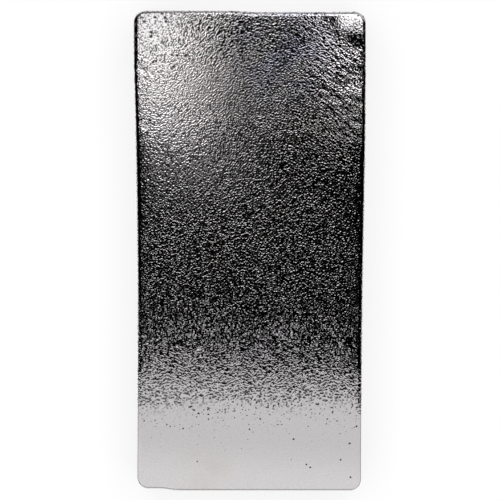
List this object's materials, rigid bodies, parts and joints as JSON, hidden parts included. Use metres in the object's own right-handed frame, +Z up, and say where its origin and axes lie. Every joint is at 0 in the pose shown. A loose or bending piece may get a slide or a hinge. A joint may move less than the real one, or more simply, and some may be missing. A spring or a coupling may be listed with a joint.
{
  "type": "silver bar",
  "caption": "Cast rectangular silver bar with rounded corners, drafted sides, a stippled flat top face and a soft-shouldered underside; raw metal stock to store, stack or melt.",
  "frame": {"origin": "on the surface that the bar lies on, under the middle of the bar", "axes": "+X across the bar, +Y along it to its wider end, +Z up from the pour face that it lies on to the mould face on top"},
  "size_m": [0.0554, 0.1132, 0.0161],
  "materials": {
    "silver": "bright as-cast silver, finely stippled"
  },
  "bodies": {
    "root": {"silver_bar": "silver"}
  },
  "joints": []
}
